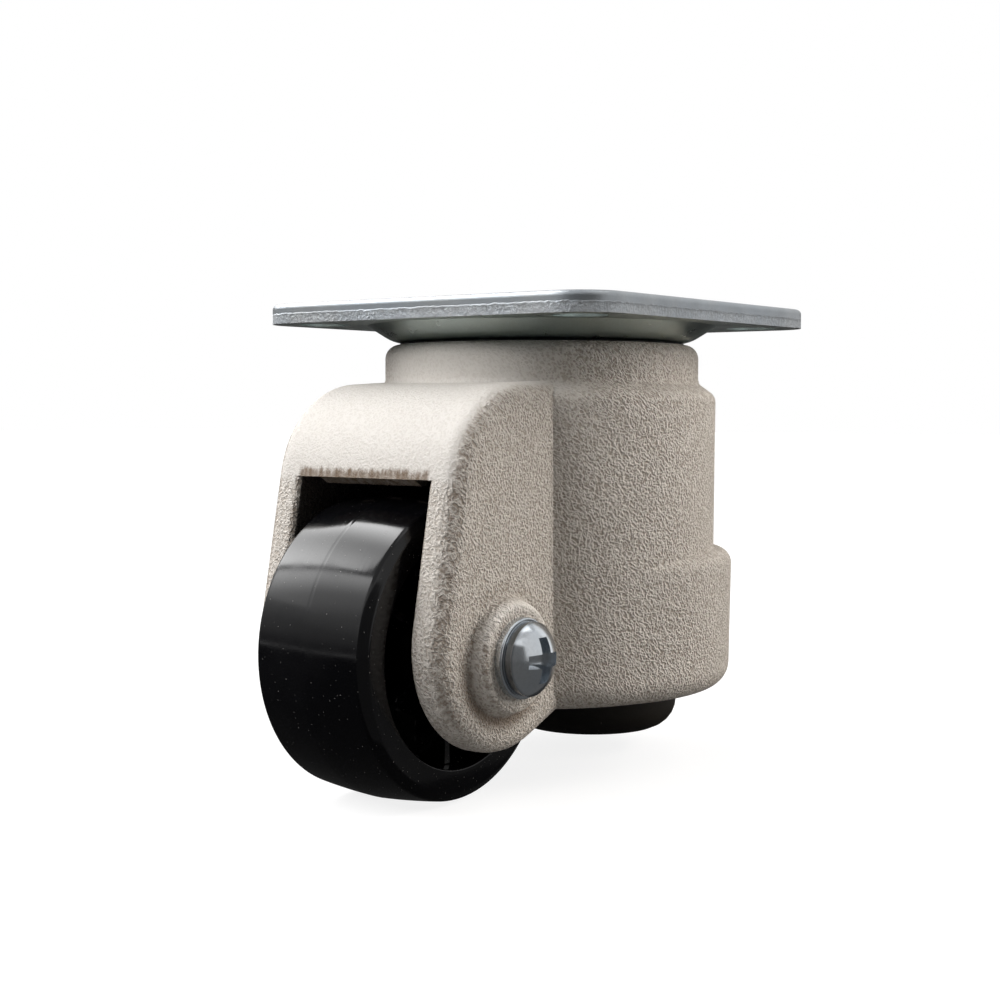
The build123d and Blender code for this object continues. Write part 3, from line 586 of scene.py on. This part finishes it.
def soft_black(name, shade, rough_low, rough_high, kept, grain):
    """Matt black rubber or plastic with a fine grain and a little dust."""
    made, tree, shader, point = material(name, Specular_IOR_Level=0.4)
    fine = noise(tree, point, grain, 3.0, 0.65)
    slow = noise(tree, point, 140.0, 3.0, 0.6)
    dust = use(tree, DUST, Vector=point, Cells=1200.0, Kept=kept)["Mask"]
    base = tint(tree, span(tree, slow, 0.35, 0.75, 0.0, 0.5), (*shade, 1), (*[c * 1.8 for c in shade], 1))
    tree.links.new(tint(tree, sum_up(tree, "MULTIPLY", dust, 0.4), base, (0.4, 0.38, 0.35, 1)),
                   shader.inputs["Base Color"])
    tree.links.new(span(tree, fine, 0.3, 0.7, rough_low, rough_high), shader.inputs["Roughness"])
    bump(tree, shader, sum_up(tree, "ADD", fine, dust), 0.00003, 0.6)
    return made


def nylon():
    """Natural nylon of the bushes, slightly waxy."""
    made, tree, shader, point = material("bush_nylon", Subsurface_Weight=0.15, Subsurface_Scale=0.001)
    slow = noise(tree, point, 300.0, 3.0, 0.6)
    tree.links.new(tint(tree, span(tree, slow, 0.3, 0.7), (0.72, 0.71, 0.66, 1), (0.62, 0.60, 0.54, 1)),
                   shader.inputs["Base Color"])
    tree.links.new(span(tree, slow, 0.3, 0.7, 0.38, 0.5), shader.inputs["Roughness"])
    bump(tree, shader, noise(tree, point, 4000.0, 2.0), 0.00001, 0.5)
    return made


PAINT = housing_paint()
PLATE = plate_zinc()
SCREW = metal("screw_bright_zinc", (0.60, 0.66, 0.72), (0.68, 0.70, 0.72), 0.10, 0.10,
              2200.0, "YZ", AXLE[1:], 0.000004, (4.2 * MM, 19.2 * MM, 20.6 * MM))
TURNED = metal("turned_steel", (0.56, 0.57, 0.58), (0.62, 0.60, 0.56), 0.26, 0.14, 3600.0)
FOOT_STEEL = metal("foot_steel", (0.60, 0.62, 0.63), (0.66, 0.64, 0.58), 0.26, 0.16, 3600.0,
                   "XY", (0.0, FOOT_Y))
BALL = metal("ball_steel", (0.66, 0.67, 0.69), (0.70, 0.69, 0.67), 0.10, 0.08)
BRASS = metal("brass_insert", (0.72, 0.52, 0.24), (0.78, 0.60, 0.32), 0.28, 0.14, 3000.0,
              "XY", (0.0, FOOT_Y))
WHEEL = wheel_plastic()
RUBBER = soft_black("foot_rubber", (0.0095, 0.0075, 0.0052), 0.62, 0.8, 0.06, 5200.0)
SEAL = soft_black("seal_rubber_black", (0.010, 0.010, 0.010), 0.6, 0.75, 0.03, 6000.0)
DIAL = soft_black("dial_black_plastic", (0.016, 0.016, 0.017), 0.42, 0.58, 0.04, 3200.0)
NYLON = nylon()

NODE_MATERIALS = {
    "mounting_plate": PLATE,
    "housing": PAINT,
    "king_pin": TURNED,
    "pin_cap": TURNED,
    "race_ring": TURNED,
    "lower_balls": BALL,
    "upper_balls": BALL,
    "dust_seal": SEAL,
    "thread_insert": BRASS,
    "wheel": WHEEL,
    "bush_right": NYLON,
    "bush_left": NYLON,
    "axle_sleeve": SCREW,
    "screw_right": SCREW,
    "screw_left": SCREW,
    "washer_right": SCREW,
    "washer_left": SCREW,
    "spindle": FOOT_STEEL,
    "thumbwheel": DIAL,
    "dial_pin": FOOT_STEEL,
    "foot_cup": FOOT_STEEL,
    "foot_clip": FOOT_STEEL,
    "foot_pad": RUBBER,
}
for name, chosen in NODE_MATERIALS.items():
    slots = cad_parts[name].data.materials
    slots.clear()
    slots.append(chosen)

make_wheel(WHEEL)
make_foot(RUBBER)
make_spindle(FOOT_STEEL)


def card(name, corners, colour, strength):
    """Flat studio card or floor from four corners."""
    mesh = bpy.data.meshes.new(name)
    mesh.from_pydata([tuple(c) for c in corners], [], [(0, 1, 2, 3)])
    piece = bpy.data.objects.new(name, mesh)
    bpy.context.scene.collection.objects.link(piece)
    piece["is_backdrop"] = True
    made, tree, shader, point = material(name + "_surface", Base_Color=(*colour, 1), Roughness=0.8,
                                         Emission_Color=(1, 1, 1, 1), Emission_Strength=strength)
    mesh.materials.append(made)
    return piece, tree, shader


def make_flag(name, corners, shade):
    """Dull studio flag that only reflections see, so that bright pieces have something dark to
    mirror, as they would have in a real studio."""
    piece, tree, shader = card(name, corners, (0.0, 0.0, 0.0), shade)
    shader.inputs["Specular IOR Level"].default_value = 0.0
    for kind in ("camera", "diffuse", "transmission", "shadow", "volume_scatter"):
        setattr(piece, "visible_" + kind, False)
    return piece


def make_floor():
    """Pale floor that turns white for the camera where it is lit and keeps the shadow."""
    r = 3.0
    piece, tree, shader = card("floor", [(-r, -r, FLOOR_Z), (r, -r, FLOOR_Z), (r, r, FLOOR_Z), (-r, r, FLOOR_Z)],
                               (0.25, 0.25, 0.25), 0.0)
    rays = put(tree, "LightPath")
    seen = sum_up(tree, "MAXIMUM", rays.outputs["Is Camera Ray"], rays.outputs["Is Glossy Ray"])
    seen = sum_up(tree, "MAXIMUM", seen, rays.outputs["Is Transmission Ray"])
    point = put(tree, "TexCoord").outputs["Object"]
    far, parts = axis_distance(tree, point, "XY", (0.0, -0.01))
    glow = span(tree, far, 0.04, 0.22, 0.84, 1.0, soft=True)
    tree.links.new(sum_up(tree, "MULTIPLY", seen, glow), shader.inputs["Emission Strength"])
    return piece


def make_world(strength):
    """White for the camera and in reflections, plain pale light otherwise."""
    world = bpy.data.worlds.new("studio")
    bpy.context.scene.world = world
    world.use_nodes = True
    tree = world.node_tree
    back = tree.nodes["Background"]
    back.inputs["Color"].default_value = (1, 1, 1, 1)
    rays = put(tree, "LightPath")
    seen = sum_up(tree, "MAXIMUM", rays.outputs["Is Camera Ray"], rays.outputs["Is Glossy Ray"])
    seen = sum_up(tree, "MAXIMUM", seen, rays.outputs["Is Transmission Ray"])
    tree.links.new(span(tree, seen, 0.0, 1.0, strength, 1.0), back.inputs["Strength"])


def facing(direction, distance, edge):
    """Place and turn of a flat thing that faces the middle of the object from a direction, with its
    width along the edge given."""
    away = Vector(direction).normalized()
    across = Vector(edge)
    across = (across - away * across.dot(away)).normalized()
    turn = Matrix((across, away.cross(across), away)).transposed().to_4x4()
    return Matrix.Translation(Vector((0, -8, -32)) * MM + away * distance) @ turn


def softbox(name, direction, distance, width, height, watts, edge=(0, 0, 1), colour=(1, 1, 1)):
    """Rectangular soft light that faces the middle of the object. It doesn't show in gloss, where
    the sheen panels stand for it."""
    data = bpy.data.lights.new(name, "AREA")
    data.shape = "RECTANGLE"
    data.size, data.size_y = width, height
    data.energy = watts
    data.color = colour
    lamp = bpy.data.objects.new(name, data)
    lamp.matrix_world = facing(direction, distance, edge)
    lamp.visible_camera = False
    lamp.visible_glossy = False
    bpy.context.scene.collection.objects.link(lamp)
    return lamp


def make_sheen(name, direction, distance, width, height, edge, top, middle, foot):
    """Panel that only reflections see: its brightness runs from the top value over the middle one
    to the foot one."""
    place = facing(direction, distance, edge)
    spots = [(-0.5, -0.5), (0.5, -0.5), (0.5, 0.5), (-0.5, 0.5)]
    piece = make_flag(name, [place @ Vector((u * width, v * height, 0)) for u, v in spots], 1.0)
    tree = piece.data.materials[0].node_tree
    down = place.to_3x3() @ Vector((0, 1, 0))
    along = put(tree, "VectorMath", {"operation": "DOT_PRODUCT"})
    tree.links.new(put(tree, "TexCoord").outputs["Object"], along.inputs[0])
    along.inputs[1].default_value = down
    centre = place.translation.dot(down)
    upper = span(tree, along.outputs["Value"], centre - height / 2, centre, top, middle, soft=True)
    lower = span(tree, along.outputs["Value"], centre, centre + height / 2, 0.0, foot - middle, soft=True)
    tree.links.new(sum_up(tree, "ADD", upper, lower), tree.nodes["Principled BSDF"].inputs["Emission Strength"])


make_floor()
make_world(0.04)
low_z, far, high = FLOOR_Z + 0.5 * MM, 0.6, 0.6
make_flag("floor_flag", [(-far, -far, low_z), (0.02, -far, low_z), (0.02, far, low_z), (-far, far, low_z)], 0.03)
make_flag("right_floor_flag", [(0.02, -far, low_z), (far, -far, low_z), (far, far, low_z), (0.02, far, low_z)], 0.11)
make_flag("ceiling_flag", [(-far, -far, high), (far, -far, high), (far, far, high), (-far, far, high)], 0.55)
make_flag("camera_flag", [(-0.05, -0.62, low_z), (0.62, -0.15, low_z), (0.62, -0.15, 0.30), (-0.05, -0.62, 0.30)], 0.14)
make_flag("back_flag", [(0.10, 0.62, low_z), (-0.62, 0.10, low_z), (-0.62, 0.10, 0.10), (0.10, 0.62, 0.10)], 0.22)
make_flag("right_flag", [(0.62, -0.15, low_z), (0.36, 0.60, low_z), (0.36, 0.60, 0.55), (0.62, -0.15, 0.55)], 0.75)
panel_edge = (-0.70, 0.58, -0.41)
softbox("key_high", (-0.666, -0.088, 0.74), 0.46, 0.36, 0.272, 1.05, panel_edge)
softbox("key_low", (-0.42, -0.70, 0.58), 0.46, 0.36, 0.28, 2.5, panel_edge)
softbox("right_back", (0.74, 0.56, 0.36), 0.50, 0.36, 0.26, 1.85, colour=(1.0, 0.96, 0.91))
softbox("top_right", (0.60, 0.35, 0.72), 0.50, 0.30, 0.30, 1.0, colour=(1.0, 0.96, 0.91))
make_sheen("front_sheen", (-0.335, -0.252, 0.057), 0.423, 0.92, 0.15, (-0.57, 0.72, 0), 0.85, 0.45, 0.10)
make_sheen("screw_sheen", (0.25, 0.20, 0.95), 0.50, 0.32, 0.32, (0, 1, 0), 1.9, 1.3, 0.9)
make_sheen("high_sheen", (-0.666, -0.088, 0.74), 0.46, 0.36, 0.272, panel_edge, 10.0, 4.0, 8.0)
make_sheen("low_sheen", (-0.64, -0.625, 0.43), 0.46, 0.36, 0.25, panel_edge, 5.5, 1.8, 0.8)

camera_data = bpy.data.cameras.new("photo_view")
camera_data.sensor_width = 36.0
camera_data.lens = 59.75
camera_data.shift_x = -0.0153
camera_data.shift_y = -0.0036
camera_data.clip_start = 0.01
camera_data.clip_end = 20.0
camera = bpy.data.objects.new("photo_view", camera_data)
bpy.context.scene.collection.objects.link(camera)
right = Vector((0.79921, 0.60105, 0.00173))
up = Vector((-0.03292, 0.04089, 0.99862))
back = right.cross(up)
turn = Matrix((right, up, back)).transposed().to_4x4()
camera.matrix_world = Matrix.Translation(Vector((141.496, -194.451, -14.589)) * MM) @ turn
bpy.context.scene.camera = camera
bpy.context.scene.view_settings.view_transform = "Standard"

low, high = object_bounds()
